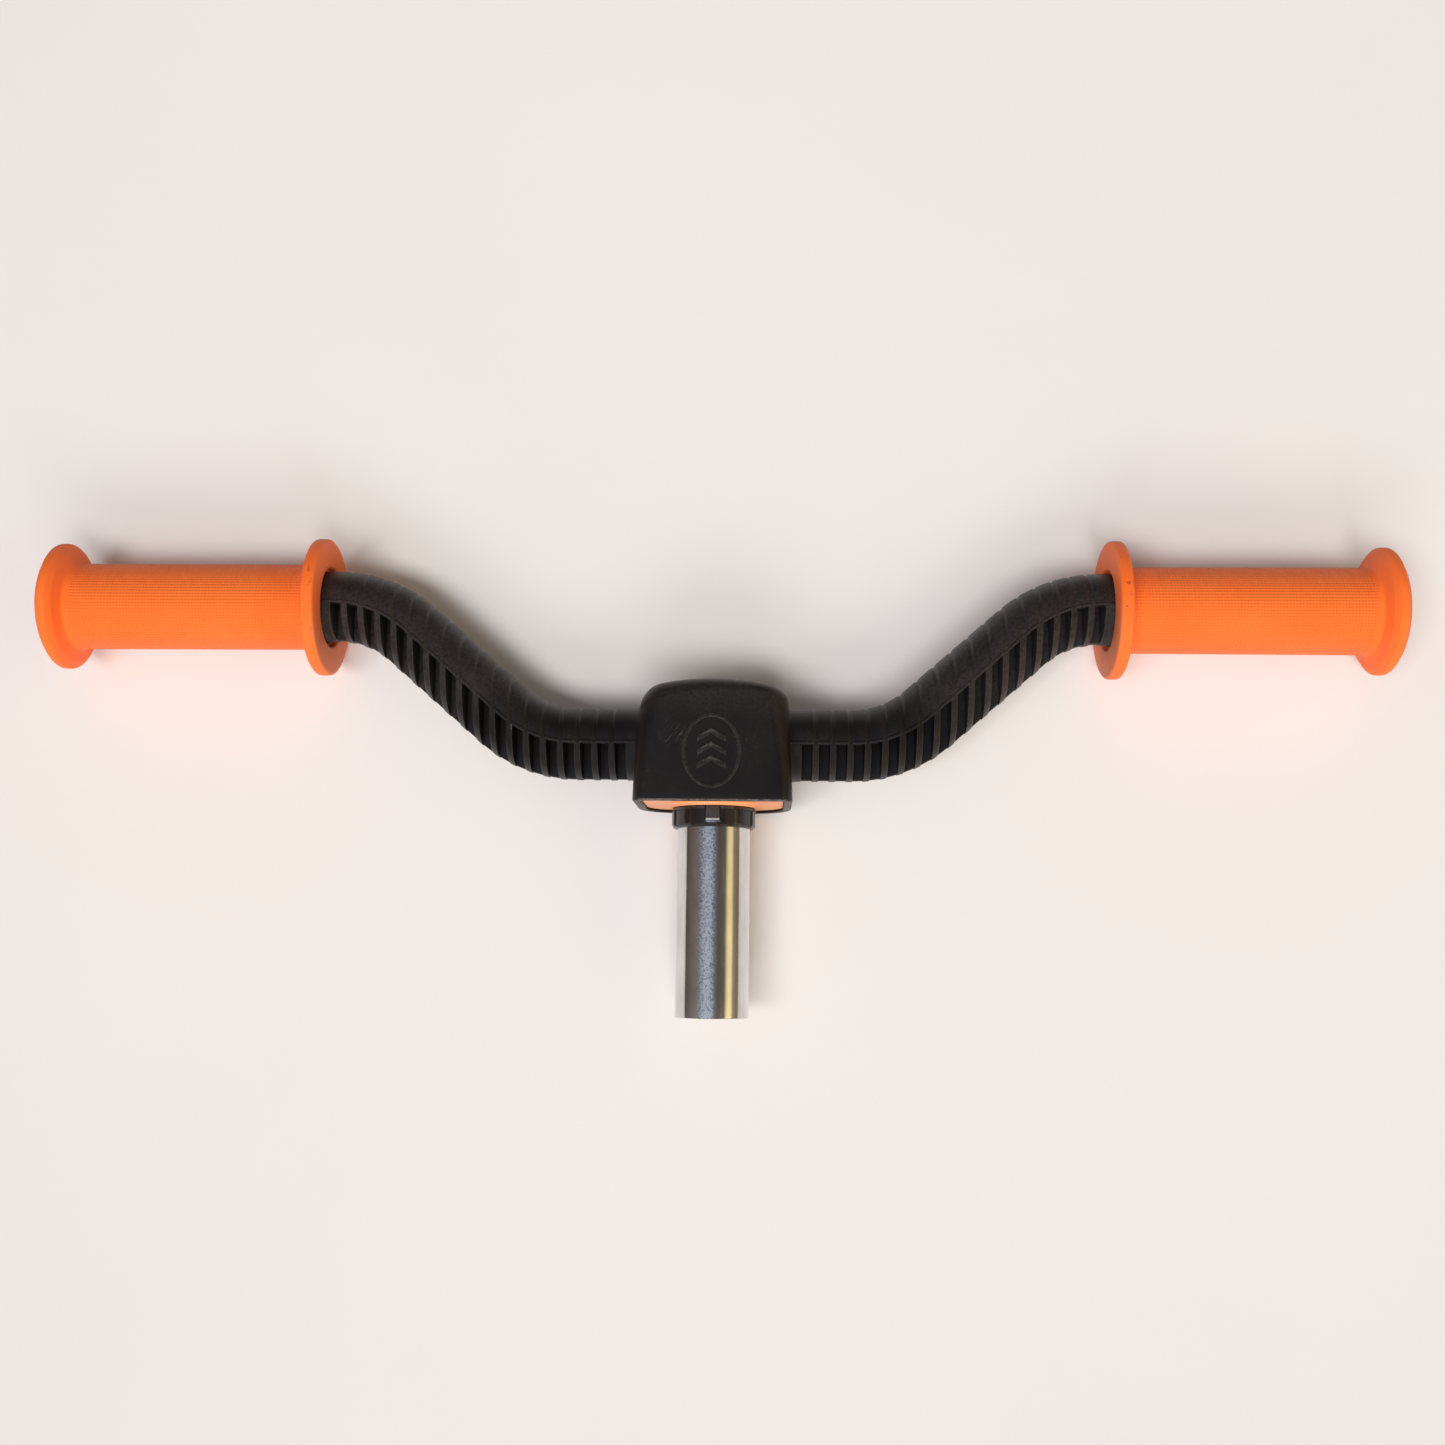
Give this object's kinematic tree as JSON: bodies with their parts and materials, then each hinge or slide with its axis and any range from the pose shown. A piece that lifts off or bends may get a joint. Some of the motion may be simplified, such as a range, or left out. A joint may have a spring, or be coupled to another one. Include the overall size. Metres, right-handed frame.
{
  "type": "pogo stick handlebar",
  "caption": "Moulded pogo stick handlebar with rubber grips, a hub, a ribbed twist collar with a release tab and a sliding chromed stem.",
  "frame": {"origin": "centre of the stem tube's open lower end, with the stem at its full reach", "axes": "+X along the bar, +Y up the stem from its open end to the hub, +Z out of the hub's front face; the unit lies on its back"},
  "size_m": [0.536, 0.1885, 0.055],
  "materials": {
    "black_plastic": "moulded satin with scuffs",
    "grip_rubber": "matte with fine mesh texture",
    "insert_plastic": "satin",
    "collar_plastic": "glossy",
    "tab_plastic": "matte",
    "stem_chrome": "chromed, scuffed",
    "nylon": "natural nylon",
    "plain_steel": "zinc plated",
    "black_rubber": "matte"
  },
  "bodies": {
    "handlebar": {"handlebar_moulding": "black_plastic", "left_grip": "grip_rubber", "right_grip": "grip_rubber", "hub_insert": "insert_plastic", "clamp_collet": "nylon", "collar_retaining_ring": "plain_steel", "insert_screws": "plain_steel", "top_bumper": "black_rubber"},
    "collar": {"lock_collar": "collar_plastic"},
    "tab": {"release_tab": "tab_plastic"},
    "stem": {"stem_tube": "stem_chrome", "stem_stop_ring": "nylon"}
  },
  "joints": [
    {"name": "collar_twist", "type": "hinge", "parent": "handlebar", "child": "collar", "pos_m": [0, 0.0765, 0], "axis": [0, 1, 0], "range_deg": [0, 90]},
    {"name": "tab_press", "type": "slide", "parent": "collar", "child": "tab", "axis": [0, 0, -1], "range_m": [0, 0.00045], "stiffness_N_per_m": 800, "springref_m": -0.0004},
    {"name": "stem_slide", "type": "slide", "parent": "handlebar", "child": "stem", "axis": [0, 1, 0], "range_m": [0, 0.0156]}
  ]
}
